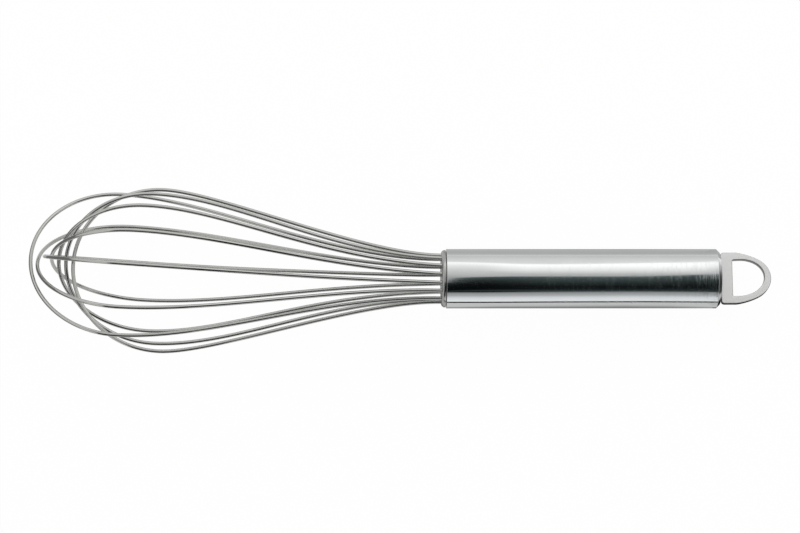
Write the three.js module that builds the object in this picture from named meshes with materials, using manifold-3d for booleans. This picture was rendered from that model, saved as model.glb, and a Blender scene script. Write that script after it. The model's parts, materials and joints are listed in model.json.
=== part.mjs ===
// A stainless balloon whisk, lying on a table as it comes to rest.
//
// Seven closed loops of wire fan round one axis and stop one behind the other, so that they cross at the
// tip without touching. Their fourteen legs pass through a perforated plug into the handle, where cast resin
// grips them. The tail of the handle is coned in over a plug, whose slot holds the tang of a flat hanging
// ring.
//
// Millimetres, +Z up. The whisk is built along its own axis, with the cap's face at x = 0, the cage towards
// -X and the ring towards +X, and is then pitched to lie on its cage and the tail of its handle.

import * as THREE from 'three';
import { mergeVertices } from 'three/addons/utils/BufferGeometryUtils.js';
import Module from 'manifold-3d';

// Wire cage
const WIRE_DIAMETER = 1.55;
const LOOP_REACH = 165.5; // tip of the longest loop, ahead of the cap's face
const TIP_GAP = 1.3; // clear space between one loop and the next where they cross at the tip
const BELLY_RADIUS = 33; // half-width of the cage
const NOSE_LENGTH = 35.5; // from the widest place to the tip
const NECK_EASE = 45; // how far the wire keeps to the cap's direction
const BELLY_EASE = 34; // how far it keeps to the belly's direction
const LEG_GRIP = 10; // length of leg held in the resin
const TWIST_POWER = 2.4; // how soon the twist of the legs fades towards the belly
const CAGE_LEAN = 7.8; // sideways bend of the whole cage at the longest tip
const LEAN_POWER = 1.3; // how late that bend sets in
const SWAY_POWER = 2; // how late each loop's own bend sets in

// The loops, longest first: each one's half-width as a share of the belly's radius, its own further bend as
// a share of the cage's lean, the degrees by which its legs turn out of its plane in the cap, and its shares
// of the neck's and the belly's ease
const LOOPS = [
  { fullness: 1.09, sway: 0.13, twist: 4.7, neck: 1.07, belly: 1.09 },
  { fullness: 1.11, sway: -0.04, twist: 4, neck: 1.02, belly: 1.14 },
  { fullness: 0.99, sway: 0.25, twist: 9, neck: 0.97, belly: 1.06 },
  { fullness: 1, sway: 0, twist: 12.7, neck: 0.94, belly: 1.01 },
  { fullness: 0.99, sway: -0.29, twist: 15.9, neck: 1.07, belly: 0.91 },
  { fullness: 0.94, sway: -0.25, twist: 14.4, neck: 0.99, belly: 0.96 },
  { fullness: 1.01, sway: -0.33, twist: 11.7, neck: 0.74, belly: 0.66 },
];

// Cap and resin core
const CAP_PROUD = 1.8; // lip standing out of the handle
const CAP_LIP_LAP = 0.6; // lip wider than the bore, on each side
const CAP_EDGE = 1.5; // rounding of the lip
const CAP_PLUG = 8; // plug inside the handle
const HOLE_WALL = 0.3; // metal left outside the leg holes
const CORE_BACKING = 4; // resin behind the ends of the legs

// Handle
const HANDLE_DIAMETER = 24;
const HANDLE_WALL = 1;
const HANDLE_LENGTH = 110.5;
const HANDLE_RIM = 0.3; // rounding of the front rim
const TAIL_TAPER = 1.9; // length of the coned tail
const TAIL_DROP = 1.9; // radius lost over the cone

// Tail cap
const TAIL_PLUG = 6; // plug inside the bore, up to the cone
const TAIL_RECESS = 0.2; // face of the plug behind the end of the handle

// Hanging ring
const RING_LENGTH = 20.3;
const RING_WIDTH = 21;
const RING_THICKNESS = 3;
const RING_ROUND = 14.1; // length of the rounded end
const RING_BAR = 4.7; // straight bar beside the handle
const RING_BAND = 3; // band along the sides
const RING_NOSE = 2.6; // band at the far end
const RING_CORNER = 1.2;
const RING_EDGE = 0.3; // broken edge all round
const RING_STANDOFF = 0.6; // between the handle and the bar
const TANG_WIDTH = 10;

// Clearances
const SEAT_GAP = 0.3; // between pieces that seat on each other
const LEG_GAP = 0.2; // round each leg in its hole

// Facets
const ROUND_SEGMENTS = 48;
const WIRE_SIDES = 8;
const HOLE_SIDES = 12;
const LEG_STEPS = 2; // in the handle
const NECK_STEPS = 14; // from the cap to the belly
const NOSE_STEPS = 12; // from the belly to the tip
const CORNER_SEGMENTS = 6;

// Sizes that follow
const wireRadius = WIRE_DIAMETER / 2;
const loopStep = WIRE_DIAMETER + TIP_GAP;
const handleRadius = HANDLE_DIAMETER / 2;
const boreRadius = handleRadius - HANDLE_WALL;
const plugRadius = boreRadius - SEAT_GAP;
const holeRadius = (wireRadius + LEG_GAP) / Math.cos(Math.PI / HOLE_SIDES);
const legCircle = plugRadius - HOLE_WALL - holeRadius;
const handleFront = CAP_PROUD + SEAT_GAP;
const handleEnd = handleFront + HANDLE_LENGTH;
const capBack = handleFront + CAP_PLUG;
const coreFront = capBack + SEAT_GAP;
const legEnd = coreFront + LEG_GRIP;
const coreBack = legEnd + LEG_GAP + CORE_BACKING;
const coneRadius = handleRadius - TAIL_DROP;
const coneBore = coneRadius - HANDLE_WALL;
const coneStart = handleEnd - TAIL_TAPER;
const tailShoulder = coneStart - SEAT_GAP;
const tailFront = tailShoulder - TAIL_PLUG;
const tailFace = handleEnd - TAIL_RECESS;
const ringFront = handleEnd + RING_STANDOFF;
const tangHeight = RING_THICKNESS - 2 * RING_EDGE;

const wasm = await Module();
wasm.setup();

function solidFrom(geometry) {
  const bare = geometry.clone();
  bare.deleteAttribute('normal');
  bare.deleteAttribute('uv');
  const merged = mergeVertices(bare, 1e-4);
  const mesh = new wasm.Mesh({
    numProp: 3,
    vertProperties: new Float32Array(merged.attributes.position.array),
    triVerts: new Uint32Array(merged.index.array),
  });
  return new wasm.Manifold(mesh);
}

function geometryFrom(solid) {
  const mesh = solid.getMesh();
  const geometry = new THREE.BufferGeometry();
  geometry.setAttribute('position', new THREE.BufferAttribute(mesh.vertProperties, 3));
  geometry.setIndex(new THREE.BufferAttribute(mesh.triVerts, 1));
  geometry.computeVertexNormals();
  return geometry;
}

function steel(roughness) {
  return new THREE.MeshStandardMaterial({ color: 0xb9bbbd, metalness: 1, roughness });
}

function namedMesh(name, geometry, material) {
  const mesh = new THREE.Mesh(geometry, material);
  mesh.name = name;
  return mesh;
}

// Revolves [radius, station] pairs about the whisk's axis.
function turned(profile) {
  const points = profile.map(([radius, station]) => new THREE.Vector2(radius, station));
  return new THREE.LatheGeometry(points, ROUND_SEGMENTS).rotateZ(-Math.PI / 2);
}

// A quarter round on a turned profile, from one [radius, station] to the next about a centre.
function quarterRound(radius, station, size, from) {
  return Array.from({ length: CORNER_SEGMENTS + 1 }, (unused, step) => {
    const angle = from + ((step / CORNER_SEGMENTS) * Math.PI) / 2;
    return [radius + size * Math.cos(angle), station + size * Math.sin(angle)];
  });
}

// The closed path of one loop: up one leg, across the tip and down the other leg.
class LoopPath extends THREE.Curve {
  constructor(order) {
    super();
    this.belly = LOOP_REACH - loopStep * order - NOSE_LENGTH;
    this.bellyRadius = BELLY_RADIUS * LOOPS[order].fullness;
    this.sway = CAGE_LEAN * LOOPS[order].sway;
    this.planeAngle = loopAngle(order);
    this.twist = legTwist(order);
    this.neck = new THREE.CubicBezierCurve(
      new THREE.Vector2(0, legCircle),
      new THREE.Vector2(NECK_EASE * LOOPS[order].neck, legCircle),
      new THREE.Vector2(this.belly - BELLY_EASE * LOOPS[order].belly, this.bellyRadius),
      new THREE.Vector2(this.belly, this.bellyRadius),
    );
  }

  // Distance ahead of the cap's face and distance from the axis, for a step count from a leg's end.
  profileAt(step) {
    if (step <= LEG_STEPS) {
      return new THREE.Vector2(-legEnd * (1 - step / LEG_STEPS), legCircle);
    }
    if (step <= LEG_STEPS + NECK_STEPS) {
      return this.neck.getPoint((step - LEG_STEPS) / NECK_STEPS);
    }
    const angle = (((step - LEG_STEPS - NECK_STEPS) / NOSE_STEPS) * Math.PI) / 2;
    const ahead = this.belly + NOSE_LENGTH * Math.sin(angle);
    return new THREE.Vector2(ahead, this.bellyRadius * Math.cos(angle));
  }

  getPoint(t, target = new THREE.Vector3()) {
    const halfSteps = LEG_STEPS + NECK_STEPS + NOSE_STEPS;
    const onFirstLeg = t <= 0.5;
    const { x: ahead, y: radius } = this.profileAt(2 * halfSteps * (onFirstLeg ? t : 1 - t));
    const share = Math.max(ahead, 0) / LOOP_REACH;
    const untwist = Math.min(Math.max(1 - ahead / this.belly, 0), 1);
    const angle = this.planeAngle - this.twist * untwist ** TWIST_POWER;
    const side = onFirstLeg ? radius : -radius;
    const bend = CAGE_LEAN * share ** LEAN_POWER + this.sway * share ** SWAY_POWER;
    return target.set(-ahead, side * Math.cos(angle) + bend, -side * Math.sin(angle));
  }

  // Steps follow the profile's own stretches, so the sharpest bends get the most of them.
  getUtoTmapping(u) {
    return u;
  }
}

// Angle of a loop's plane round the axis, from +Y towards -Z. The last loop lies flat, like the ring.
function loopAngle(order) {
  return (Math.PI * (order + 1)) / LOOPS.length;
}

// Turn of a loop's two legs in the cap, out of the loop's plane.
function legTwist(order) {
  return THREE.MathUtils.degToRad(LOOPS[order].twist);
}

// Where the legs stand in the cap, as points of the YZ plane.
function legPlaces() {
  return Array.from({ length: 2 * LOOPS.length }, (unused, leg) => {
    const angle = loopAngle(leg) - legTwist(leg % LOOPS.length);
    return [legCircle * Math.cos(angle), -legCircle * Math.sin(angle)];
  });
}

function polygon(radius, sides) {
  return Array.from({ length: sides }, (unused, corner) => {
    const angle = (2 * Math.PI * corner) / sides;
    return new THREE.Vector2(radius * Math.cos(angle), radius * Math.sin(angle));
  });
}

function wireLoop(order) {
  const section = new THREE.Shape(polygon(wireRadius, WIRE_SIDES));
  const steps = 2 * (LEG_STEPS + NECK_STEPS + NOSE_STEPS);
  return new THREE.ExtrudeGeometry(section, { steps, extrudePath: new LoopPath(order) });
}

// Bores the leg holes into a turned block, from one station to another.
function boredForLegs(block, from, to) {
  const cutters = legPlaces().map(([y, z]) => {
    const cutter = new THREE.CylinderGeometry(holeRadius, holeRadius, to - from, HOLE_SIDES);
    return solidFrom(cutter.rotateZ(-Math.PI / 2).translate((from + to) / 2, y, z));
  });
  const bored = cutters.reduce((solid, cutter) => solid.subtract(cutter), solidFrom(block));
  return geometryFrom(bored);
}

function wireCap() {
  const lipRadius = boreRadius + CAP_LIP_LAP;
  const block = turned([
    [0, 0],
    ...quarterRound(lipRadius - CAP_EDGE, CAP_EDGE, CAP_EDGE, -Math.PI / 2),
    [lipRadius, CAP_PROUD],
    [plugRadius, CAP_PROUD],
    [plugRadius, capBack],
    [0, capBack],
  ]);
  return boredForLegs(block, -CAP_PROUD, capBack + CAP_PROUD);
}

function pottingCore() {
  const block = turned([
    [0, coreFront],
    [plugRadius, coreFront],
    [plugRadius, coreBack],
    [0, coreBack],
  ]);
  return boredForLegs(block, coreFront - CAP_PROUD, legEnd + LEG_GAP);
}

function handleTube() {
  const rim = quarterRound(handleRadius - HANDLE_RIM, handleFront + HANDLE_RIM, HANDLE_RIM, -Math.PI / 2);
  return turned([
    [boreRadius, handleFront],
    ...rim,
    [handleRadius, coneStart],
    [coneRadius, handleEnd],
    [coneBore, handleEnd],
    [boreRadius, coneStart],
    [boreRadius, handleFront],
  ]);
}

// Captive in the bore behind the cone, with a boss that fills the end of the handle.
function tailCap() {
  const bossRadius = coneBore - SEAT_GAP;
  const block = turned([
    [0, tailFront],
    [plugRadius, tailFront],
    [plugRadius, tailShoulder],
    [bossRadius, tailShoulder],
    [bossRadius, tailFace],
    [0, tailFace],
  ]);
  const slotLength = 2 * (tailFace - tailFront);
  const slot = new THREE.BoxGeometry(slotLength, TANG_WIDTH + 2 * SEAT_GAP, tangHeight + 2 * SEAT_GAP);
  slot.translate((tailFront + tailFace) / 2, 0, 0);
  return geometryFrom(solidFrom(block).subtract(solidFrom(slot)));
}

// A D with its straight side at the start and a half ellipse at the end, along X.
function dOutline(path, start, end, halfWidth, roundLength, corner) {
  const centre = end - roundLength;
  path.moveTo(start + corner, -halfWidth);
  path.lineTo(centre, -halfWidth);
  path.absellipse(centre, 0, roundLength, halfWidth, -Math.PI / 2, Math.PI / 2);
  path.lineTo(start + corner, halfWidth);
  path.absarc(start + corner, halfWidth - corner, corner, Math.PI / 2, Math.PI);
  path.lineTo(start, corner - halfWidth);
  path.absarc(start + corner, corner - halfWidth, corner, Math.PI, 1.5 * Math.PI);
  return path;
}

function hangingRing() {
  const halfWidth = RING_WIDTH / 2;
  const holeHalfWidth = halfWidth - RING_BAND;
  const holeRound = (RING_ROUND * holeHalfWidth) / halfWidth;
  const outline = dOutline(new THREE.Shape(), 0, RING_LENGTH, halfWidth, RING_ROUND, RING_CORNER);
  const hole = dOutline(
    new THREE.Path(), RING_BAR, RING_LENGTH - RING_NOSE, holeHalfWidth, holeRound, RING_EDGE,
  );
  outline.holes.push(hole);
  const plate = new THREE.ExtrudeGeometry(outline, {
    depth: tangHeight,
    bevelSize: RING_EDGE,
    bevelThickness: RING_EDGE,
    bevelOffset: -RING_EDGE,
    bevelSegments: 1,
    curveSegments: 2 * CORNER_SEGMENTS,
  }).translate(ringFront, 0, RING_EDGE - RING_THICKNESS / 2);
  const tangBack = ringFront + RING_BAR / 2;
  const tang = new THREE.BoxGeometry(tangBack - tailFront, TANG_WIDTH, tangHeight);
  tang.translate((tailFront + tangBack) / 2, 0, 0);
  return geometryFrom(solidFrom(plate).add(solidFrom(tang)));
}

// Height of the lowest point of some meshes after a pitch about Y.
function lowestPoint(meshes, pitch) {
  let lowest = Infinity;
  for (const { geometry } of meshes) {
    const { array } = geometry.attributes.position;
    for (let i = 0; i < array.length; i += 3) {
      lowest = Math.min(lowest, array[i + 2] * Math.cos(pitch) - array[i] * Math.sin(pitch));
    }
  }
  return lowest;
}

// The pitch at which the cage and the rest of the whisk touch the same table.
function restingPitch(loops, others) {
  let low = 0;
  let high = Math.PI / 4;
  for (let halving = 0; halving < 40; halving += 1) {
    const pitch = (low + high) / 2;
    if (lowestPoint(loops, pitch) < lowestPoint(others, pitch)) {
      low = pitch;
    } else {
      high = pitch;
    }
  }
  return (low + high) / 2;
}

const resin = new THREE.MeshStandardMaterial({ color: 0x5a5c5e, metalness: 0, roughness: 0.6 });
const cage = LOOPS.map((loop, order) => namedMesh(`wire_loop_${order + 1}`, wireLoop(order), steel(0.3)));
const body = [
  namedMesh('wire_cap', wireCap(), steel(0.35)),
  namedMesh('potting_core', pottingCore(), resin),
  namedMesh('handle_tube', handleTube(), steel(0.28)),
  namedMesh('tail_cap', tailCap(), steel(0.3)),
  namedMesh('hanging_ring', hangingRing(), steel(0.32)),
];

const whisk = new THREE.Group();
whisk.add(...cage, ...body);
whisk.rotation.y = restingPitch(cage, body);

// The origin lies on the table, under the middle of the whisk.
const box = new THREE.Box3().setFromObject(whisk, true);
const middle = box.getCenter(new THREE.Vector3());
whisk.position.set(-middle.x, -middle.y, -box.min.z);

const table = new THREE.Group();
table.add(whisk);

export default table;
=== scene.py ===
"""Dresses a stainless balloon whisk: its wire cage, capped tube handle and flat hanging ring.

Sizes are millimetres along the whisk's own axis: the cap's face at x = 0, the cage towards -X, the ring
towards +X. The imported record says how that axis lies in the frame, which is in metres.
"""

import json
import logging
import math
from collections.abc import Iterable, Sequence
from dataclasses import dataclass
from enum import Enum
from typing import Any

import bmesh
import bpy
from mathutils import Matrix, Vector


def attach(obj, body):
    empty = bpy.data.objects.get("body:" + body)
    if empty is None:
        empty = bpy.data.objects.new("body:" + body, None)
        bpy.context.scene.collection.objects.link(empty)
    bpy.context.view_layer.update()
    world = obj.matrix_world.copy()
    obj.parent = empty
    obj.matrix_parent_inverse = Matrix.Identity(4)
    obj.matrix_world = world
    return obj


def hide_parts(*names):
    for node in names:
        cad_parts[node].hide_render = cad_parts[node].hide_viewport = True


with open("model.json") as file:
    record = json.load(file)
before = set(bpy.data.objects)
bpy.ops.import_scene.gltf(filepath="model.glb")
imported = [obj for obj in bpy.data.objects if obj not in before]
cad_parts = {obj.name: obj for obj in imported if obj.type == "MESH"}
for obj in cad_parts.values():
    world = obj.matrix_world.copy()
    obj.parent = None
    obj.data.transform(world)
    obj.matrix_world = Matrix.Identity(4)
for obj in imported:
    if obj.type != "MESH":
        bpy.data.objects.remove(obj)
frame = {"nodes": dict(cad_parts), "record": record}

MM = 0.001  # metres in a millimetre
BODY = "root"
PLACE = "place_mm"  # attribute with a piece's own coordinates
GLOW = "glow"  # attribute with the brightness of a studio card
SHARP_ANGLE = math.radians(32)  # edges that turn more than this stay crisp
ON_AXIS = 1e-6  # a turned profile nearer to its axis than this meets it
OVERRUN = 1.0  # how far a cutting tool runs past the piece
LOG = logging.getLogger("whisk")

Tree, Node, Socket = bpy.types.NodeTree, bpy.types.Node, bpy.types.NodeSocket
Object, Solid = bpy.types.Object, bmesh.types.BMesh
Pair = tuple[float, float]
Triple = tuple[float, float, float]
Colour = tuple[float, float, float, float]
Column = list[tuple[Vector, float]]  # places of a studio card, each with its glow
Grid = list[Column]


class Slot(Enum):
    """The record's material slots."""

    WIRE = "wire_steel"
    HANDLE = "handle_steel"
    CAP = "cap_steel"
    RING = "ring_steel"
    RESIN = "resin"


class Shown(Enum):
    """Which rays meet a card of the studio."""

    AS_LIGHT = "reflections and light"
    IN_GLOSS = "reflections only"


class Cut(Enum):
    """How one solid works on another."""

    TAKE = "DIFFERENCE"
    JOIN = "UNION"


def linear(colour: str) -> Colour:
    """Turns an sRGB hex colour into linear values.

    Args:
        colour: six hex digits, with or without a hash.

    Returns:
        Red, green, blue and an alpha of 1.
    """
    digits = colour.lstrip("#")
    shares = [int(digits[i : i + 2], 16) / 255 for i in (0, 2, 4)]
    red, green, blue = [s / 12.92 if s <= 0.04045 else ((s + 0.055) / 1.055) ** 2.4 for s in shares]
    return red, green, blue, 1.0


def add_node(
    tree: Tree,
    kind: str,
    settings: dict[str, Any] | None = None,
    inputs: dict[str | int, Any] | None = None,
) -> Node:
    """Adds a node, sets its properties, and fills or links its inputs.

    Args:
        tree: node tree of a material or of the world.
        kind: the node's type, without its ShaderNode prefix.
        settings: properties of the node by name.
        inputs: a constant, or the socket to link from, by the input's name or place.

    Returns:
        The new node.
    """
    made = tree.nodes.new("ShaderNode" + kind)
    for name, value in (settings or {}).items():
        setattr(made, name, value)
    for key, value in (inputs or {}).items():
        if isinstance(value, Socket):
            tree.links.new(value, made.inputs[key])
        else:
            made.inputs[key].default_value = value
    return made


def bare_tree(owner: bpy.types.Material | bpy.types.World) -> Tree:
    """Empties the node tree of a material or of the world.

    Args:
        owner: the material or the world.

    Returns:
        Its empty tree.
    """
    owner.use_nodes = True
    owner.node_tree.nodes.clear()
    return owner.node_tree


@dataclass(frozen=True)
class Finish:
    """What each surface has: a name, a colour, a second colour that it drifts to, and its roughness."""

    name: str
    colour: str
    drift: str
    roughness: float
    unevenness: float = 0.0
    metallic: float = 1.0

    def material(self) -> bpy.types.Material:
        """Makes the finish's node material on its first use.

        Returns:
            The material.
        """
        made = bpy.data.materials.get(self.name)
        if made is None:
            made = bpy.data.materials.new(self.name)
            tree = bare_tree(made)
            shader = add_node(tree, "BsdfPrincipled", inputs={"Metallic": self.metallic})
            self.paint(tree, shader)
            add_node(tree, "OutputMaterial", inputs={"Surface": shader.outputs["BSDF"]})
        return made

    def paint(self, tree: Tree, shader: Node) -> None:
        """Wires the surface's pattern into its shader, which each finish does in its own way."""
        raise NotImplementedError

    def tone(self, tree: Tree, shader: Node, share: Socket) -> None:
        """Lets the colour drift by a share from 0 to 1.

        Args:
            tree: the material's node tree.
            shader: its shader.
            share: socket that gives the share.
        """
        tones = {0: share, 6: linear(self.colour), 7: linear(self.drift)}
        mix = add_node(tree, "Mix", {"data_type": "RGBA"}, tones)
        tree.links.new(mix.outputs[2], shader.inputs["Base Color"])

    def scatter(self, tree: Tree, shader: Node, share: Socket) -> None:
        """Lets the roughness vary about its mean by a share from 0 to 1.

        Args:
            tree: the material's node tree.
            shader: its shader.
            share: socket that gives the share.
        """
        low, high = self.roughness - self.unevenness, self.roughness + self.unevenness
        spread = add_node(tree, "MapRange", inputs={"Value": share, "To Min": low, "To Max": high})
        tree.links.new(spread.outputs["Result"], shader.inputs["Roughness"])

    @staticmethod
    def place(tree: Tree) -> Socket:
        """Returns the socket of a piece's own coordinates, in millimetres."""
        return add_node(tree, "Attribute", {"attribute_name": PLACE}).outputs["Vector"]

    @staticmethod
    def grain(tree: Tree, place: Socket, size: Triple, detail: float = 2.0) -> Socket:
        """Makes a noise whose marks have a real size.

        Args:
            tree: the material's node tree.
            place: socket of the surface's own coordinates.
            size: length of a mark along each coordinate, in the units of those.
            detail: octaves of finer marks in each.

        Returns:
            The socket of a value from 0 to 1.
        """
        scale = tuple(1 / length for length in size)
        scaled = add_node(tree, "Mapping", inputs={"Vector": place, "Scale": scale}).outputs[0]
        noise = add_node(tree, "TexNoise", inputs={"Vector": scaled, "Scale": 1.0, "Detail": detail})
        return noise.outputs[0]

    @staticmethod
    def relief(tree: Tree, shader: Node, height: Socket, depth: float) -> None:
        """Raises a pattern as a bump.

        Args:
            tree: the material's node tree.
            shader: its shader.
            height: socket that gives the height, from 0 to 1.
            depth: depth of the marks in metres.
        """
        bump = add_node(tree, "Bump", inputs={"Height": height, "Distance": depth})
        tree.links.new(bump.outputs["Normal"], shader.inputs["Normal"])


@dataclass(frozen=True)
class LinedFinish(Finish):
    """A finish with fine lines that catch the light, on a colour that drifts in soft clouds."""

    line: Triple = (1.0, 1.0, 1.0)
    cloud: Triple = (1.0, 1.0, 1.0)
    depth: float = 0.0

    def paint(self, tree: Tree, shader: Node) -> None:
        """Draws the lines in the roughness and the relief, and the clouds in the colour.

        Args:
            tree: the material's node tree.
            shader: its shader.
        """
        place = self.place(tree)
        lines = self.grain(tree, place, self.line)
        self.tone(tree, shader, self.grain(tree, place, self.cloud))
        self.scatter(tree, shader, lines)
        self.relief(tree, shader, lines, self.depth)


@dataclass(frozen=True)
class GrainedFinish(Finish):
    """A finish whose small marks show in its colour, its roughness and its relief."""

    mark: Triple = (1.0, 1.0, 1.0)
    detail: float = 2.0
    depth: float = 0.0

    def paint(self, tree: Tree, shader: Node) -> None:
        """Draws the marks.

        Args:
            tree: the material's node tree.
            shader: its shader.
        """
        marks = self.grain(tree, self.place(tree), self.mark, self.detail)
        self.tone(tree, shader, marks)
        self.scatter(tree, shader, marks)
        self.relief(tree, shader, marks, self.depth)


@dataclass(frozen=True)
class DrawnStainlessWire(LinedFinish):
    """Stainless spring wire, pulled through a die: soft bright, with faint lines along its length.

    The die's lines are drawn at ten times their width, to show.
    """

    line: Triple = (40.0, 0.3, 0.3)
    cloud: Triple = (22.0, 3.0, 3.0)
    depth: float = 1e-6


@dataclass(frozen=True)
class PolishedStainlessTube(Finish):
    """Welded stainless tube, buffed bright at its front and left satin towards its tail by the belt.

    The belt's strokes run round the tube and are drawn at four times their width, to show.
    """

    satin: float = 0.22
    bright_to: float = 18.0
    satin_from: float = 56.0
    stroke: Triple = (0.42, 3.4, 3.4)
    faint: float = 0.4
    full: float = 0.72
    detail: float = 3.0
    cloud: Triple = (9.0, 6.0, 6.0)
    depth: float = 4e-7

    def paint(self, tree: Tree, shader: Node) -> None:
        """Draws the belt's strokes, which grow towards the tail.

        Args:
            tree: the material's node tree.
            shader: its shader.
        """
        place = self.place(tree)
        along = add_node(tree, "SeparateXYZ", inputs={0: place}).outputs["X"]
        strokes = self.grain(tree, place, self.stroke, self.detail)
        satin, marks = [
            add_node(
                tree,
                "MapRange",
                {"interpolation_type": "SMOOTHSTEP"},
                {"Value": value, "From Min": low, "From Max": high},
            ).outputs["Result"]
            for value, low, high in (
                (along, self.bright_to, self.satin_from),
                (strokes, self.faint, self.full),
            )
        ]
        worn = add_node(tree, "Math", {"operation": "MULTIPLY"}, {0: marks, 1: satin}).outputs[0]
        ends = {"To Min": self.roughness, "To Max": self.satin}
        rough = add_node(tree, "MapRange", inputs={"Value": worn, **ends})
        tree.links.new(rough.outputs["Result"], shader.inputs["Roughness"])
        self.tone(tree, shader, self.grain(tree, place, self.cloud))
        self.relief(tree, shader, worn, self.depth)


@dataclass(frozen=True)
class TumbledStainless(GrainedFinish):
    """Stainless steel, tumbled with ceramic chips: an even soft grey with tiny dull dents."""

    mark: Triple = (0.35, 0.35, 0.35)
    detail: float = 3.0
    depth: float = 4e-6


@dataclass(frozen=True)
class SatinStainlessPlate(LinedFinish):
    """Stainless plate, rubbed flat with fine grit: pale and matt, with hair lines along the ring.

    The hair lines are drawn at three times their width, to show.
    """

    line: Triple = (5.0, 0.14, 0.14)
    cloud: Triple = (2.2, 1.4, 1.4)
    depth: float = 3e-6


@dataclass(frozen=True)
class GrooveShadeSteel(GrainedFinish):
    """Steel in the narrow groove behind the cap's lip: dull, with fine turned rings, and painted dark as
    painted shade for the gap's shadow.
    """

    mark: Triple = (0.12, 4.0, 4.0)
    depth: float = 8e-6


@dataclass(frozen=True)
class CastEpoxyResin(GrainedFinish):
    """Grey filled epoxy, poured round the legs: dull, with the grain of settled filler."""

    mark: Triple = (0.5 * MM, 0.5 * MM, 0.5 * MM)
    detail: float = 4.0
    depth: float = 3e-5

    @staticmethod
    def place(tree: Tree) -> Socket:
        """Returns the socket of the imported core's own coordinates, in metres."""
        return add_node(tree, "TexCoord").outputs["Object"]


WIRE = DrawnStainlessWire("drawn_stainless_wire", "#b4b4b1", "#a8a8a5", 0.1, 0.03)
TUBE = PolishedStainlessTube("polished_stainless_tube", "#cdcece", "#c6c8c8", 0.07)
CAP = TumbledStainless("tumbled_stainless", "#a8a8a6", "#9c9c9a", 0.18, 0.04)
PLATE = SatinStainlessPlate("satin_stainless_plate", "#dadad9", "#d2d2d1", 0.32, 0.05)
# Painted shade: the ring's walls are a darker grey than its plate, for the shade they mirror.
EDGE_SHADE = TumbledStainless("ring_edge_painted_shade", "#8c8c8a", "#828280", 0.08, 0.02)
# Painted shade: the dark grey of the groove behind the cap's lip stands in for the gap's shadow.
GROOVE_SHADE = GrooveShadeSteel("groove_painted_shade", "#5c5b5a", "#4a4948", 0.4, 0.06)
RESIN = CastEpoxyResin("cast_epoxy_resin", "#5a5c5e", "#505254", 0.55, 0.1, 0.0)


@dataclass(frozen=True)
class Lay:
    """How the whisk lies on the table: its own axes in millimetres against the frame in metres."""

    pitch: float
    offset: Vector

    @classmethod
    def read(cls, record: dict[str, Any], mount: str, anchor: Vector) -> "Lay":
        """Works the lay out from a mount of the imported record.

        Args:
            record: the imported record.
            mount: name of a mount on a face that looks up along the whisk's own Z.
            anchor: that mount's place on the whisk's own axes.

        Returns:
            The lay.
        """
        found = next(m for m in record["mounts"] if m["name"] == mount)
        pitch = math.atan2(found["axis"][0], found["axis"][2])
        offset = Vector(found["pos_m"]) - Matrix.Rotation(pitch, 3, "Y") @ (anchor * MM)
        return cls(pitch, offset)

    def matrix(self) -> Matrix:
        """Returns the whisk's own axes, in metres, as a transform into the frame."""
        return Matrix.Translation(self.offset) @ Matrix.Rotation(self.pitch, 4, "Y")

    def place(self, point: Vector) -> Vector:
        """Turns a point in the whisk's own millimetres into the frame's metres."""
        return self.matrix() @ (point * MM)

    def turn(self, way: Vector) -> Vector:
        """Turns a direction on the whisk's own axes into the frame's."""
        return self.matrix().to_3x3() @ way


def rounded(corners: Sequence[Triple], steps: int, closed: bool) -> list[Pair]:
    """Rounds the corners of a path.

    Args:
        corners: place and rounding of each corner.
        steps: facets in each rounding.
        closed: whether the last corner leads back to the first.

    Returns:
        The places along the rounded path.
    """
    made: list[Pair] = []
    count = len(corners)
    for i, (x, y, size) in enumerate(corners):
        at_end = not closed and i in (0, count - 1)
        if size <= 0 or at_end:
            made.append((x, y))
            continue
        here = Vector((x, y))
        back = (Vector(corners[i - 1][:2]) - here).normalized()
        ahead = (Vector(corners[(i + 1) % count][:2]) - here).normalized()
        half = back.angle(ahead) / 2
        centre = here + (back + ahead).normalized() * size / math.sin(half)
        first = here + back * size / math.tan(half) - centre
        last = here + ahead * size / math.tan(half) - centre
        sweep = first.angle_signed(last)
        for step in range(steps + 1):
            spoke = Matrix.Rotation(-sweep * step / steps, 2) @ first
            made.append(tuple(centre + spoke))
    return made


def turned(profile: Sequence[Pair], segments: int, closed: bool) -> Solid:
    """Revolves a profile about the whisk's axis.

    Args:
        profile: station along the axis and radius of each place.
        segments: facets round the axis.
        closed: whether the last place leads back to the first.

    Returns:
        The turned solid.
    """
    bm = bmesh.new()
    rings: list[list[bmesh.types.BMVert]] = []
    for station, radius in profile:
        if radius < ON_AXIS:
            rings.append([bm.verts.new((station, 0, 0))])
            continue
        angles = [2 * math.pi * k / segments for k in range(segments)]
        spots = [(station, radius * math.cos(a), radius * math.sin(a)) for a in angles]
        rings.append([bm.verts.new(spot) for spot in spots])
    pairs = list(zip(rings, rings[1:]))
    if closed:
        pairs.append((rings[-1], rings[0]))
    for one, two in pairs:
        for k in range(segments):
            after = (k + 1) % segments
            face = [one[k % len(one)], one[after % len(one)], two[after % len(two)], two[k % len(two)]]
            bm.faces.new(list(dict.fromkeys(face)))
    bmesh.ops.recalc_face_normals(bm, faces=bm.faces)
    return bm


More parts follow.
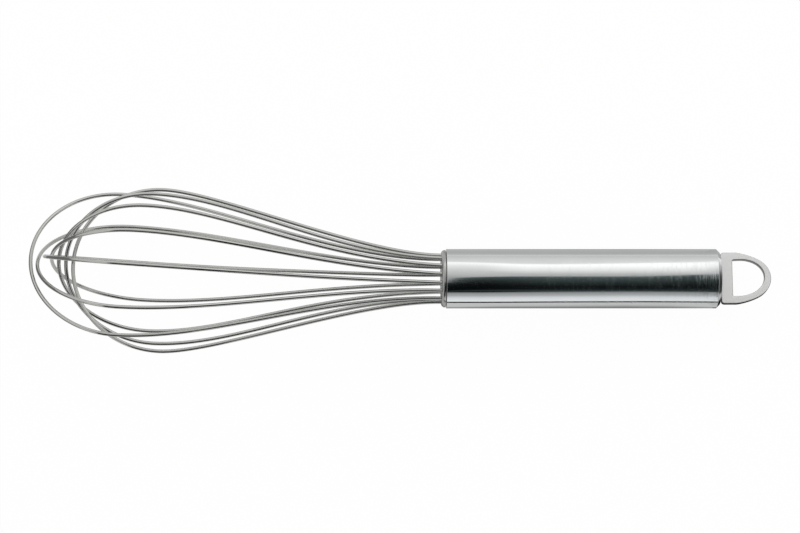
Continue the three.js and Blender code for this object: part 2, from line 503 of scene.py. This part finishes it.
def swept(path: Sequence[Vector], radius: float, sides: int) -> tuple[Solid, list[float]]:
    """Sweeps a round section along a path without twisting it.

    Args:
        path: places along the middle of the wire.
        radius: radius of the wire.
        sides: facets round the wire.

    Returns:
        The closed wire, and for each vertex the way along it and its place in the section.
    """
    bm = bmesh.new()
    ways = [(path[min(i + 1, len(path) - 1)] - path[max(i - 1, 0)]).normalized() for i in range(len(path))]
    up = ways[0].orthogonal().normalized()
    rings: list[list[bmesh.types.BMVert]] = []
    drawn: list[float] = []
    along = 0.0
    for i, (point, way) in enumerate(zip(path, ways)):
        up = (up - way * up.dot(way)).normalized()
        across = way.cross(up)
        along += (point - path[i - 1]).length if i else 0.0
        ring = []
        for k in range(sides):
            angle = 2 * math.pi * k / sides
            y, z = radius * math.cos(angle), radius * math.sin(angle)
            ring.append(bm.verts.new(point + up * y + across * z))
            drawn.extend((along, y, z))
        rings.append(ring)
    for one, two in zip(rings, rings[1:]):
        for k in range(sides):
            after = (k + 1) % sides
            bm.faces.new((one[k], one[after], two[after], two[k]))
    bm.faces.new(rings[0])
    bm.faces.new(rings[-1])
    bmesh.ops.recalc_face_normals(bm, faces=bm.faces)
    return bm, drawn


def block(low: Vector, high: Vector) -> Solid:
    """Makes a box.

    Args:
        low: its lowest corner.
        high: its highest corner.

    Returns:
        The box.
    """
    bm = bmesh.new()
    size = Matrix.Diagonal((high - low).to_4d())
    bmesh.ops.create_cube(bm, size=1.0, matrix=Matrix.Translation((low + high) / 2) @ size)
    return bm


def as_object(bm: Solid, name: str) -> Object:
    """Puts a solid in millimetres into the scene as an object in metres, and frees it.

    Args:
        bm: the solid.
        name: name of the object and of its mesh.

    Returns:
        The object.
    """
    bmesh.ops.scale(bm, vec=(MM, MM, MM), verts=bm.verts)
    mesh = bpy.data.meshes.new(name)
    bm.to_mesh(mesh)
    bm.free()
    made = bpy.data.objects.new(name, mesh)
    bpy.context.scene.collection.objects.link(made)
    return made


def settle(piece: Object) -> None:
    """Applies a piece's modifiers to its mesh.

    Args:
        piece: the piece.
    """
    bpy.context.view_layer.update()
    seen = piece.evaluated_get(bpy.context.evaluated_depsgraph_get())
    old, name = piece.data, piece.data.name
    new = bpy.data.meshes.new_from_object(seen)
    piece.modifiers.clear()
    piece.data = new
    bpy.data.meshes.remove(old)
    new.name = name


def work(piece: Object, tool: Solid, cut: Cut) -> None:
    """Cuts a solid out of a piece, or joins it to the piece.

    Args:
        piece: the piece to work on.
        tool: the solid.
        cut: what it does.
    """
    other = as_object(tool, "tool")
    step = piece.modifiers.new("work", "BOOLEAN")
    step.operation = cut.value
    step.solver = "EXACT"
    step.object = other
    settle(piece)
    bpy.data.objects.remove(other)


@dataclass
class Assembly:
    """What the sub-assemblies share: how the whisk lies and how a piece is set into it."""

    lay: Lay

    def set_in(
        self, piece: Object, slot: Slot, finishes: Sequence[Finish], places: Sequence[float] | None = None
    ) -> None:
        """Lays a piece down, smooths it, dresses it, and has it stand for the CAD node of its name.

        Args:
            piece: the piece, on the whisk's own axes, named for its node with a suffix.
            slot: the record's slot for the piece; it is not used.
            finishes: its materials, in the order of its faces' indices.
            places: coordinates of each vertex for the finish, where they aren't the whisk's own axes.
        """
        own = places or [value / MM for vertex in piece.data.vertices for value in vertex.co]
        piece.data.attributes.new(PLACE, "FLOAT_VECTOR", "POINT").data.foreach_set("vector", own)
        piece.data.transform(self.lay.matrix())
        for finish in finishes:
            piece.data.materials.append(finish.material())
        piece.data.shade_smooth()
        piece.data.set_sharp_from_angle(angle=SHARP_ANGLE)
        flatter = piece.modifiers.new("flatter", "WEIGHTED_NORMAL")
        flatter.keep_sharp = True
        settle(piece)
        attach(piece, BODY)
        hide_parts(piece.name.removesuffix("_dressed"))
        LOG.info("%s: %d faces, %s", piece.name, len(piece.data.polygons), finishes[0].name)


@dataclass(frozen=True)
class Loop:
    """One loop of the cage.

    Its half-width is a share of the belly's and its own bend a share of the lean. Its legs turn out of its
    plane in the cap by some degrees, and it has shares of the neck's and the belly's ease.
    """

    fullness: float
    sway: float
    twist: float
    neck: float
    belly: float


@dataclass
class WireCage(Assembly):
    """Seven loops of wire that fan round the axis and cross at the tip, one behind the other."""

    wire: float = 1.55
    reach: float = 165.5
    tip_gap: float = 1.3
    belly_radius: float = 33.0
    nose: float = 35.5
    neck_ease: float = 45.0
    belly_ease: float = 34.0
    leg_end: float = 20.4
    leg_circle: float = 9.3906
    twist_power: float = 2.4
    lean: float = 7.8
    lean_power: float = 1.3
    sway_power: float = 2.0
    loops: tuple[Loop, ...] = (
        Loop(1.09, 0.13, 4.7, 1.07, 1.09),
        Loop(1.11, -0.04, 4.0, 1.02, 1.14),
        Loop(0.99, 0.25, 9.0, 0.97, 1.06),
        Loop(1.0, 0.0, 12.7, 0.94, 1.01),
        Loop(0.99, -0.29, 15.9, 1.07, 0.91),
        Loop(0.94, -0.25, 14.4, 0.99, 0.96),
        Loop(1.01, -0.33, 11.7, 0.74, 0.66),
    )
    sides: int = 16
    leg_steps: int = 4
    neck_steps: int = 52
    nose_steps: int = 40

    def angle(self, order: int) -> float:
        """Returns the angle of a loop's plane, or of a leg, round the axis."""
        return math.pi * (order + 1) / len(self.loops)

    def widest(self, order: int) -> float:
        """Returns how far ahead of the cap a loop is widest."""
        return self.reach - (self.wire + self.tip_gap) * order - self.nose

    def legs(self) -> list[Pair]:
        """Finds where the legs stand in the cap.

        Returns:
            The legs' places across the axis.
        """
        angles = [
            self.angle(leg) - math.radians(self.loops[leg % len(self.loops)].twist)
            for leg in range(2 * len(self.loops))
        ]
        return [(self.leg_circle * math.cos(a), -self.leg_circle * math.sin(a)) for a in angles]

    def half(self, order: int) -> list[Pair]:
        """Draws one side of a loop: a leg, an eased neck and a quarter of an ellipse.

        Args:
            order: the loop, from the longest.

        Returns:
            The places, as the way ahead of the cap and the way out from the axis.
        """
        loop = self.loops[order]
        belly = self.widest(order)
        width = self.belly_radius * loop.fullness
        made = [(-self.leg_end * (1 - s / self.leg_steps), self.leg_circle) for s in range(self.leg_steps)]
        pulls = (0.0, self.neck_ease * loop.neck, belly - self.belly_ease * loop.belly, belly)
        outs = (self.leg_circle, self.leg_circle, width, width)
        for step in range(self.neck_steps):
            t = step / self.neck_steps
            weights = ((1 - t) ** 3, 3 * t * (1 - t) ** 2, 3 * t * t * (1 - t), t**3)
            ahead = sum(w * p for w, p in zip(weights, pulls))
            made.append((ahead, sum(w * p for w, p in zip(weights, outs))))
        for step in range(self.nose_steps + 1):
            a = math.pi / 2 * step / self.nose_steps
            made.append((belly + self.nose * math.sin(a), width * math.cos(a)))
        return made

    def path(self, order: int) -> list[Vector]:
        """Draws the middle of one loop's wire: up one leg, across the tip and down the other leg.

        Args:
            order: the loop, from the longest.

        Returns:
            The places along it.
        """
        belly = self.widest(order)
        sway = self.lean * self.loops[order].sway
        twist = math.radians(self.loops[order].twist)
        profile = self.half(order)
        made = []
        for side, run in ((1, profile), (-1, profile[-2::-1])):
            for ahead, radius in run:
                share = max(ahead, 0.0) / self.reach
                untwist = min(max(1 - ahead / belly, 0.0), 1.0)
                angle = self.angle(order) - twist * untwist**self.twist_power
                bend = self.lean * share**self.lean_power + sway * share**self.sway_power
                out = side * radius
                made.append(Vector((-ahead, out * math.cos(angle) + bend, -out * math.sin(angle))))
        return made

    def build(self) -> None:
        """Builds the seven wires and dresses them."""
        for order in range(len(self.loops)):
            bm, drawn = swept(self.path(order), self.wire / 2, self.sides)
            piece = as_object(bm, f"wire_loop_{order + 1}_dressed")
            self.set_in(piece, Slot.WIRE, [WIRE], drawn)


@dataclass
class Handle(Assembly):
    """The tube, the perforated cap that the legs pass through, and the plug in the coned tail."""

    radius: float = 12.0
    bore: float = 11.0
    front: float = 2.1
    end: float = 112.6
    rim: float = 0.12
    cone_start: float = 111.2
    cone_radius: float = 10.6
    cone_bore: float = 9.1
    cone_break: float = 0.25
    lip_radius: float = 11.6
    lip_edge: float = 1.5
    lip_back: float = 1.8
    lip_break: float = 0.1
    lip_steps: int = 8
    groove_back: float = 2.6
    plug_radius: float = 10.7
    plug_edge: float = 0.3
    cap_back: float = 10.1
    hole_gap: float = 0.08
    countersink: float = 0.14
    tail_front: float = 104.4
    tail_shoulder: float = 110.4
    tail_boss: float = 8.8
    tail_edge: float = 0.2
    tail_face: float = 112.4
    slot_size: Pair = (10.2, 2.6)
    segments: int = 128
    hole_segments: int = 32
    edge_steps: int = 5

    def build_tube(self) -> None:
        """Builds the tube with a rounded rim and a coned tail."""
        corners = [
            (self.front, self.bore, self.rim / 2),
            (self.front, self.radius, self.rim),
            (self.cone_start, self.radius, self.cone_break),
            (self.end, self.cone_radius, self.cone_break),
            (self.end, self.cone_bore, self.cone_break / 2),
            (self.cone_start, self.bore, 0.0),
        ]
        profile = rounded(corners, self.edge_steps, True)
        piece = as_object(turned(profile, self.segments, True), "handle_tube_dressed")
        self.set_in(piece, Slot.HANDLE, [TUBE])

    def build_cap(self, legs: Sequence[Pair], wire: float) -> None:
        """Builds the cap with a countersunk hole for each leg, and gives the groove behind its lip painted
        shade.

        Args:
            legs: where the legs stand across the axis.
            wire: diameter of the wire.
        """
        corners = [
            (0.0, 0.0, 0.0),
            (0.0, self.lip_radius, self.lip_edge),
            (self.lip_back, self.lip_radius, self.lip_break),
            (self.lip_back, self.plug_radius, 0.0),
            (self.groove_back, self.plug_radius, 0.0),
            (self.cap_back, self.plug_radius, self.plug_edge),
            (self.cap_back, 0.0, 0.0),
        ]
        profile = rounded(corners, self.lip_steps, False)
        piece = as_object(turned(profile, self.segments, False), "wire_cap_dressed")
        hole = wire / 2 + self.hole_gap
        flare = [
            (-OVERRUN, 0.0),
            (-OVERRUN, hole + self.countersink + OVERRUN),
            (self.countersink, hole),
            (self.cap_back + OVERRUN, hole),
            (self.cap_back + OVERRUN, 0.0),
        ]
        drills = bmesh.new()
        for y, z in legs:
            drill = turned(flare, self.hole_segments, False)
            bmesh.ops.translate(drill, vec=(0, y, z), verts=drill.verts)
            shape = bpy.data.meshes.new("drill")
            drill.to_mesh(shape)
            drills.from_mesh(shape)
            drill.free()
            bpy.data.meshes.remove(shape)
        work(piece, drills, Cut.TAKE)
        # The faces in the groove behind the lip take the dark groove finish, which is painted shade.
        for face in piece.data.polygons:
            out = math.hypot(face.center.y, face.center.z) / MM
            behind_lip = self.lip_back < face.center.x / MM < self.groove_back
            face.material_index = int(behind_lip and abs(out - self.plug_radius) < self.hole_gap)
        self.set_in(piece, Slot.CAP, [CAP, GROOVE_SHADE])

    def build_tail(self) -> None:
        """Builds the plug, captive behind the cone, with a slot for the ring's tang."""
        corners = [
            (self.tail_front, 0.0, 0.0),
            (self.tail_front, self.plug_radius, self.plug_edge),
            (self.tail_shoulder, self.plug_radius, self.lip_break),
            (self.tail_shoulder, self.tail_boss, 0.0),
            (self.tail_face, self.tail_boss, self.tail_edge),
            (self.tail_face, 0.0, 0.0),
        ]
        profile = rounded(corners, self.edge_steps, False)
        piece = as_object(turned(profile, self.segments, False), "tail_cap_dressed")
        width, height = self.slot_size
        low = Vector((self.tail_front - OVERRUN, -width / 2, -height / 2))
        high = Vector((self.tail_face + OVERRUN, width / 2, height / 2))
        work(piece, block(low, high), Cut.TAKE)
        self.set_in(piece, Slot.CAP, [CAP])

    @staticmethod
    def dress_core() -> None:
        """Gives the resin inside the tube, which stays as it is packed, its finish."""
        core = frame["nodes"]["potting_core"]
        core.data.materials.clear()
        core.data.materials.append(RESIN.material())
        LOG.info("potting_core: as packed, %s", RESIN.name)


@dataclass
class HangingRing(Assembly):
    """The flat D at the tail: a straight bar, a rounded band, and a tang into the tail's plug."""

    front: float = 113.2
    length: float = 20.3
    width: float = 21.0
    thickness: float = 3.0
    round_length: float = 14.1
    bar: float = 4.7
    band: float = 3.0
    nose: float = 2.6
    corner: float = 1.2
    hole_corner: float = 0.45
    slim: float = 0.085
    hole_lean: float = 0.045  # per millimetre of its length
    edge: float = 0.25
    flat: float = 0.93  # a face that looks up or down by more than this is plate, not painted shade
    facing: float = 0.8  # and so is one that looks at the handle's cone by more than this
    tang_front: float = 104.4
    tang_width: float = 10.0
    tang_height: float = 2.4
    round_steps: int = 72
    corner_steps: int = 8
    edge_steps: int = 4

    @classmethod
    def mount_place(cls) -> Vector:
        """Returns the middle of the bar's upper face, where the record's mount stands."""
        return Vector((cls.front + cls.bar / 2, 0.0, cls.thickness / 2))

    def outline(
        self, start: float, end: float, half: float, sweep: float, corner: float, slim: float, lean: float
    ) -> list[Vector]:
        """Traces a D, straight at its start and half an ellipse at its end.

        Args:
            start: station of its straight side.
            end: station of its rounded end.
            half: half its width.
            sweep: length of its rounded end.
            corner: rounding of its two corners.
            slim: how much flatter its rounded end is than an ellipse, as a share of half its width.
            lean: how far it leans to +Y, per millimetre of its length.

        Returns:
            Its places, anticlockwise from the foot of its rounded end.
        """
        places = []
        centre = end - sweep
        for step in range(self.round_steps + 1):
            a = math.pi * (step / self.round_steps - 0.5)
            flatter = 1 - slim * math.sin(a) ** 2 * abs(math.sin(2 * a))
            places.append(Vector((centre + sweep * math.cos(a), half * math.sin(a) * flatter)))
        for side in (1, -1):
            middle = Vector((start + corner, side * (half - corner)))
            for step in range(self.corner_steps + 1):
                share = step / self.corner_steps
                a = math.pi / 2 * ((1 + share) if side > 0 else (2 + share))
                places.append(middle + corner * Vector((math.cos(a), math.sin(a))))
        return [Vector((place.x, place.y + lean * (place.x - start))) for place in places]

    @staticmethod
    def outward(places: Sequence[Vector]) -> list[Vector]:
        """Finds the way out of a path that runs anticlockwise, at each of its places.

        Args:
            places: places along the path.

        Returns:
            The ways out.
        """
        made = []
        for i in range(len(places)):
            way = (places[(i + 1) % len(places)] - places[i - 1]).normalized()
            made.append(Vector((way.y, -way.x)))
        return made

    def wall(self) -> list[Pair]:
        """Draws the section of an edge, rounded above and below.

        Returns:
            Its places, as the way in from the outline and the height.
        """
        half = self.thickness / 2
        turns = [math.pi / 2 * s / self.edge_steps for s in range(self.edge_steps + 1)]
        top = [(self.edge * (1 - math.sin(a)), half - self.edge * (1 - math.cos(a))) for a in turns]
        return top + [(inset, -height) for inset, height in reversed(top)]

    def build(self) -> None:
        """Builds the plate with rounded edges, joins its tang, and dresses faces and edges apart, the edges
        darker as painted shade.
        """
        half = self.width / 2
        inner_half = half - self.band
        inner_round = self.round_length * inner_half / half
        hole, end = self.front + self.bar, self.front + self.length
        outer = self.outline(self.front, end, half, self.round_length, self.corner, self.slim, 0.0)
        end -= self.nose
        inner = self.outline(hole, end, inner_half, inner_round, self.hole_corner, 0.0, self.hole_lean)
        bm = bmesh.new()
        shells = []
        for places, side in ((outer, -1), (inner, 1)):
            ways = self.outward(places)
            shell = []
            for inset, height in self.wall():
                spots = [p + w * side * inset for p, w in zip(places, ways)]
                shell.append([bm.verts.new((*spot, height)) for spot in spots])
            shells.append(shell)
        count = len(outer)
        strips = [(one, two) for shell in shells for one, two in zip(shell, shell[1:])]
        strips += [(shells[0][0], shells[1][0]), (shells[0][-1], shells[1][-1])]
        for one, two in strips:
            for k in range(count):
                after = (k + 1) % count
                bm.faces.new((one[k], one[after], two[after], two[k]))
        bmesh.ops.recalc_face_normals(bm, faces=bm.faces)
        piece = as_object(bm, "hanging_ring_dressed")
        low = Vector((self.tang_front, -self.tang_width / 2, -self.tang_height / 2))
        high = Vector((self.front + self.bar / 2, self.tang_width / 2, self.tang_height / 2))
        work(piece, block(low, high), Cut.JOIN)
        # Walls other than the one facing the cone take the darker edge finish, which is painted shade.
        for face in piece.data.polygons:
            beside_cone = face.center.x / MM < self.front + self.corner and face.normal.x < -self.facing
            face.material_index = int(abs(face.normal.z) < self.flat and not beside_cone)
        self.set_in(piece, Slot.RING, [PLATE, EDGE_SHADE])


@dataclass(frozen=True)
class Row:
    """One line of a studio card: its bearing from the camera, its distance and how it glows."""

    bearing: float
    distance: float
    glow: float


@dataclass(frozen=True)
class Panel:
    """One column of the softbox: its station, the bearing of its upper edge, and how it glows."""

    station: float
    edge: float
    glows: tuple[float, ...]


@dataclass(frozen=True)
class Shade:
    """One column of the dark flag: its station, its upper and lower bearing, and its share of haze."""

    station: float
    top: float
    bottom: float
    haze: float


@dataclass(frozen=True)
class Wing:
    """A card that stands across the frame's x: half its width, how it glows, and its profile in x and z."""

    half: float
    glow: float
    profile: tuple[Pair, ...]


# How the softbox glows from its upper edge down: over the front, over the rear and at the tail.
FRONT_GLOW = (0.83, 1.03, 1.13, 1.6, 1.58, 1.26, 0.97, 0.78, 0.6, 0.6)
REAR_GLOW = (0.83, 1.03, 1.13, 1.64, 1.76, 1.68, 1.28, 0.74, 0.6, 0.6)
TAIL_GLOW = (0.83, 1.03, 1.2, 1.6, 1.6, 1.22, 0.74, 0.3, 0.2, 0.2)


@dataclass
class Studio(Assembly):
    """Pale sweep, soft light and camera. Bearings turn about the whisk's axis from the camera's way."""

    roll: float = math.radians(12.4)
    yaw: float = 0.02
    camera_distance: float = 1200.0
    lens: float = 133.7
    clip: Pair = (0.05, 50.0)
    aim_ahead: float = 16.55
    aim_up: float = 4.93
    white: str = "#ffffff"
    floor_to_eye: float = 0.97
    floor_to_gloss: float = 0.3
    floor_colour: str = "#f6f6f5"
    floor_half: float = 4000.0
    floor_drop: float = 0.05
    sky: float = 0.9
    mirror_radius: float = 12.0
    softbox_distance: float = 520.0
    softbox_above: tuple[float, ...] = (100, 80)
    softbox_edge: tuple[float, ...] = (2, -2, -6)
    softbox_below: tuple[float, ...] = (50, 33, 17, 7, -30)
    softbox: tuple[Panel, ...] = (
        Panel(-305, 70, FRONT_GLOW), Panel(-1, 70, FRONT_GLOW), Panel(15.6, 66, FRONT_GLOW),
        Panel(31.7, 59.5, REAR_GLOW), Panel(47.7, 58.5, REAR_GLOW), Panel(80.5, 64, REAR_GLOW),
        Panel(105, 68, REAR_GLOW), Panel(112.5, 72.5, TAIL_GLOW),
        Panel(114, 72.5, FRONT_GLOW), Panel(280, 72.5, FRONT_GLOW),
    )
    fill_colour: str = "#fafdff"
    fill: tuple[Row, ...] = (
        Row(-51, 304, 0.3), Row(-54, 284, 0.39), Row(-58.5, 260, 0.54), Row(-63, 235, 0.59),
        Row(-67, 212, 0.69), Row(-72, 182, 0.9), Row(-77, 152, 1.08), Row(-82, 122, 1.15),
        Row(-87, 94, 1.2), Row(-92.6, 55, 1.28), Row(-96, 44, 1.3),
    )
    seam: tuple[Row, ...] = (Row(-98, 36, 0.0), Row(-105, 27, 0.0))
    strip_dips: tuple[Pair, ...] = (
        (-20, -3.5), (16.6, -3.5), (47.8, -1), (81, 0.3), (96.6, -0.8), (112.4, -2.2),
    )
    flag_colour: str = "#ddfeff"
    flag_distance: float = 400.0
    flag_shares: tuple[float, ...] = (0, 0.1, 0.22, 0.42, 0.62, 0.8, 0.86, 0.92, 1)
    flag_clear: tuple[float, ...] = (0.16, 0.085, 0.03, 0.008, 0.005, 0.006, 0.06, 0.014, 0.02)
    flag_hazy: tuple[float, ...] = (0.22, 0.12, 0.075, 0.036, 0.01, 0.015, 0.045, 0.075, 0.1)
    flag: tuple[Shade, ...] = (
        Shade(-250, -14, -84, 0.2), Shade(-13, -14, -84, 0.2), Shade(-4, -18, -57, 0),
        Shade(0.9, -14, -57, 0), Shade(2.6, -7, -57, 0), Shade(5.6, 3.5, -57, 0),
        Shade(15.4, 7, -55, 0), Shade(27.4, 9, -54, 0.4), Shade(42.4, 9, -54, 1), Shade(80, 9, -54, 1),
        Shade(104.6, 16, -54, 0.6), Shade(112.6, 20, -54, 0.4), Shade(113.4, 0, -88, 0.7),
        Shade(185, 0, -88, 0.7),
    )
    # Painted shadow on the table, seen only in reflections: its height, its spread along the handle, and
    # its glow across the axis.
    table_lift: float = 0.3
    table_spreads: tuple[Pair, ...] = (
        (-14, 0.8), (6, 0.87), (24, 1), (75, 1), (92, 0.88), (110, 0.68),
    )
    table_tones: tuple[Pair, ...] = (
        (420, 0.82), (190, 0.72), (99, 0.64), (34, 0.64), (14, 0.4), (-12, 0.2),
        (-19, 0.35), (-24, 0.56), (-29, 0.78), (-36, 0.84), (-56, 0.87),
    )
    ring_span: Pair = (110.0, 136.0)
    ring_tones: tuple[Pair, ...] = (
        (290, 0.82), (130, 0.72), (66, 0.64), (12, 0.55), (0, 0.4),
        (-4, 0.02), (-15.2, 0.02), (-16.4, 0.75), (-70, 0.75),
    )
    # Beyond the ring: painted shade, and a painted highlight where the glow rises above 1.
    tail_rows: tuple[float, ...] = (-70, -12, 8, 24, 40)
    tail_tones: tuple[tuple[float, tuple[float, ...]], ...] = (
        (137, (0.75, 0.75, 0.9, 1.3, 1.3)),
        (146, (0.08, 0.08, 0.35, 1.1, 1.3)),
        (176, (0.06, 0.06, 0.2, 0.5, 0.9)),
        (290, (0.06, 0.06, 0.1, 0.3, 0.9)),
    )
    left_wing: Wing = Wing(260, 0.28, ((-185, 0.3), (-340, 0.3), (-340, 120)))
    right_wing: Wing = Wing(100, 0.05, ((240, 0.3), (240, 70)))

    def axes(self) -> tuple[Vector, Vector, Vector]:
        """Finds how the camera looks.

        Returns:
            The picture's right and up and the way to the camera, on the whisk's own axes.
        """
        out, up = self.spoke(0), self.spoke(90)
        ahead = Vector((-1, 0, 0))
        left = ahead * math.cos(self.yaw) - out * math.sin(self.yaw)
        return -left, up, ahead * math.sin(self.yaw) + out * math.cos(self.yaw)

    def spoke(self, degrees: float) -> Vector:
        """Returns the way from the whisk's axis at a bearing, square to that axis."""
        turn = self.roll - math.radians(degrees)
        return Vector((0, -math.sin(turn), math.cos(turn)))

    def column(self, station: float, rows: Iterable[Row]) -> Column:
        """Places the rows of a card, where the handle mirrors them to the camera at their bearing.

        Args:
            station: place along the handle that mirrors them.
            rows: the rows.

        Returns:
            The place in the frame and the glow of each row.
        """
        made = []
        slope = (station + self.aim_ahead) / self.camera_distance + self.yaw
        for row in rows:
            mirror = self.spoke(row.bearing / 2) * self.mirror_radius
            along = Vector((station + slope * row.distance, 0, 0))
            point = along + mirror + self.spoke(row.bearing) * row.distance
            made.append((self.lay.place(point), row.glow))
        return made

    def shoot(self) -> None:
        """Sets the camera where the photographer stood."""
        own_right, own_up, _ = self.axes()
        right, up, out = (self.lay.turn(way) for way in self.axes())
        aim = self.lay.place(own_up * self.aim_up - own_right * self.aim_ahead)
        lens = bpy.data.cameras.new("camera")
        lens.lens = self.lens
        lens.clip_start, lens.clip_end = self.clip
        camera = bpy.data.objects.new("camera", lens)
        bpy.context.scene.collection.objects.link(camera)
        turn = Matrix((right, up, out)).transposed().to_4x4()
        camera.matrix_world = Matrix.Translation(aim + out * self.camera_distance * MM) @ turn
        bpy.context.scene.camera = camera

    @staticmethod
    def seen(tree: Tree, to_eye: float, to_gloss: float) -> Socket:
        """Weighs what the camera sees itself and what it sees in gloss or glass.

        Args:
            tree: node tree of the floor or the world.
            to_eye: value for what it sees itself.
            to_gloss: value for what it sees in gloss or glass.

        Returns:
            The socket of the value, which is 0 for all other light.
        """
        path = add_node(tree, "LightPath").outputs
        glossy, clear = path["Is Glossy Ray"], path["Is Transmission Ray"]
        mirrored = add_node(tree, "Math", {"operation": "MAXIMUM"}, {0: glossy, 1: clear}).outputs[0]
        gloss = add_node(tree, "Math", {"operation": "MULTIPLY"}, {0: mirrored, 1: to_gloss}).outputs[0]
        weights = {0: path["Is Camera Ray"], 1: to_eye, 2: gloss}
        return add_node(tree, "Math", {"operation": "MULTIPLY_ADD"}, weights).outputs[0]

    def light_world(self) -> None:
        """Makes the world white to the eye and a plain soft light to the floor."""
        world = bpy.data.worlds.new("studio")
        bpy.context.scene.world = world
        tree = bare_tree(world)
        to_camera = self.seen(tree, 1.0, 1.0)
        level = add_node(tree, "MapRange", inputs={"Value": to_camera, "To Min": self.sky, "To Max": 1.0})
        light = {"Color": linear(self.white), "Strength": level.outputs["Result"]}
        sky = add_node(tree, "Background", inputs=light)
        add_node(tree, "OutputWorld", inputs={"Surface": sky.outputs[0]})

    def lay_floor(self) -> None:
        """Lays the pale sweep, which is white to the eye and keeps the whisk's shadow."""
        bm = bmesh.new()
        bmesh.ops.create_grid(bm, x_segments=1, y_segments=1, size=self.floor_half)
        floor = as_object(bm, "floor")
        floor.location.z = -self.floor_drop * MM
        material = bpy.data.materials.new("white_paper_sweep")
        tree = bare_tree(material)
        paper = add_node(tree, "BsdfDiffuse", inputs={"Color": linear(self.floor_colour)})
        glow = add_node(tree, "Emission", inputs={"Color": linear(self.white), "Strength": 1.0})
        share = self.seen(tree, self.floor_to_eye, self.floor_to_gloss)
        mix = add_node(tree, "MixShader", inputs={0: share, 1: paper.outputs[0], 2: glow.outputs[0]})
        add_node(tree, "OutputMaterial", inputs={"Surface": mix.outputs[0]})
        floor.data.materials.append(material)

    @staticmethod
    def card(name: str, grid: Grid, colour: str, shown: Shown) -> None:
        """Hangs a card whose glow runs from place to place.

        Args:
            name: the card's name.
            grid: its columns of places in the frame, each with its glow.
            colour: colour of the glow.
            shown: which rays meet it.
        """
        bm = bmesh.new()
        verts = [[bm.verts.new(place / MM) for place, _ in column] for column in grid]
        for one, two in zip(verts, verts[1:]):
            for k in range(len(one) - 1):
                bm.faces.new((one[k], one[k + 1], two[k + 1], two[k]))
        made = as_object(bm, name)
        glows = [glow for column in grid for _, glow in column]
        made.data.attributes.new(GLOW, "FLOAT", "POINT").data.foreach_set("value", glows)
        material = bpy.data.materials.new(name + "_cloth")
        tree = bare_tree(material)
        glow = add_node(tree, "Attribute", {"attribute_name": GLOW}).outputs["Fac"]
        light = add_node(tree, "Emission", inputs={"Color": linear(colour), "Strength": glow})
        add_node(tree, "OutputMaterial", inputs={"Surface": light.outputs[0]})
        made.data.materials.append(material)
        made.visible_camera = False
        made.visible_shadow = False
        made.visible_diffuse = shown is Shown.AS_LIGHT

    def hang_softbox(self) -> None:
        """Hangs the softbox over the whisk, brightest along its upper edge, and the haze above it."""
        grid = []
        for panel in self.softbox:
            edge = tuple(panel.edge + step for step in self.softbox_edge)
            bearings = self.softbox_above + edge + self.softbox_below
            rows = [Row(b, self.softbox_distance, g) for b, g in zip(bearings, panel.glows)]
            grid.append(self.column(panel.station, rows))
        self.card("softbox", grid, self.white, Shown.AS_LIGHT)

    def hang_flag(self) -> None:
        """Hangs the dark flag that draws the black band along the handle."""
        grid = []
        for shade in self.flag:
            rows = []
            for share, clear, hazy in zip(self.flag_shares, self.flag_clear, self.flag_hazy):
                bearing = shade.top + (shade.bottom - shade.top) * share
                rows.append(Row(bearing, self.flag_distance, clear + (hazy - clear) * shade.haze))
            grid.append(self.column(shade.station, rows))
        self.card("flag", grid, self.flag_colour, Shown.IN_GLOSS)

    def hang_strips(self) -> None:
        """Hangs the fill and the thin dark strip beside the handle."""
        strips = (("fill", self.fill, self.fill_colour), ("seam", self.seam, self.white))
        for name, strip, colour in strips:
            grid = []
            for station, dip in self.strip_dips:
                rows = [Row(row.bearing + dip, row.distance, row.glow) for row in strip]
                grid.append(self.column(station, rows))
            self.card(name, grid, colour, Shown.IN_GLOSS)

    def on_table(self, x: float, tones: Iterable[Pair]) -> Column:
        """Places one column of a card just above the table.

        Args:
            x: place along the whisk's axis.
            tones: place across the axis, and glow, of each row.

        Returns:
            The place in the frame and the glow of each row.
        """
        made = []
        for y, glow in tones:
            point = self.lay.place(Vector((x, y, 0)))
            made.append((Vector((point.x, point.y, self.table_lift * MM)), glow))
        return made

    def shade_table(self) -> None:
        """Lays painted shadow on the table where the handle, its cone and the ring mirror it, and a painted
        highlight beyond the ring; only reflections show them.
        """
        under = [
            self.on_table(x, [(y * spread, glow) for y, glow in self.table_tones])
            for x, spread in self.table_spreads
        ]
        self.card("table_painted_shadow", under, self.white, Shown.IN_GLOSS)
        below = [self.on_table(x, self.ring_tones) for x in self.ring_span]
        self.card("ring_painted_shadow", below, self.white, Shown.IN_GLOSS)
        behind = [self.on_table(x, zip(self.tail_rows, glows)) for x, glows in self.tail_tones]
        self.card("tail_painted_light_and_shade", behind, self.white, Shown.IN_GLOSS)

    def stand_wings(self) -> None:
        """Stands a dark card beyond the tip and one beyond the ring, for the edges that face them."""
        for name, wing in (("left_wing", self.left_wing), ("right_wing", self.right_wing)):
            grid = [
                [(Vector((x, y, z)) * MM, wing.glow) for x, z in wing.profile]
                for y in (-wing.half, wing.half)
            ]
            self.card(name, grid, self.white, Shown.IN_GLOSS)

    def build(self) -> None:
        """Sets up the whole studio."""
        self.shoot()
        self.light_world()
        self.lay_floor()
        self.hang_softbox()
        self.hang_flag()
        self.hang_strips()
        self.shade_table()
        self.stand_wings()
        bpy.context.scene.view_settings.view_transform = "Standard"


def main() -> None:
    """Builds the whisk and its studio."""
    logging.basicConfig(level=logging.INFO, format="%(name)s: %(message)s")
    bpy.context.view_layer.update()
    lay = Lay.read(frame["record"], "ring_top_face", HangingRing.mount_place())
    cage = WireCage(lay)
    cage.build()
    handle = Handle(lay)
    handle.build_cap(cage.legs(), cage.wire)
    handle.dress_core()
    handle.build_tube()
    handle.build_tail()
    HangingRing(lay).build()
    Studio(lay).build()


if __name__ == "__main__":
    main()
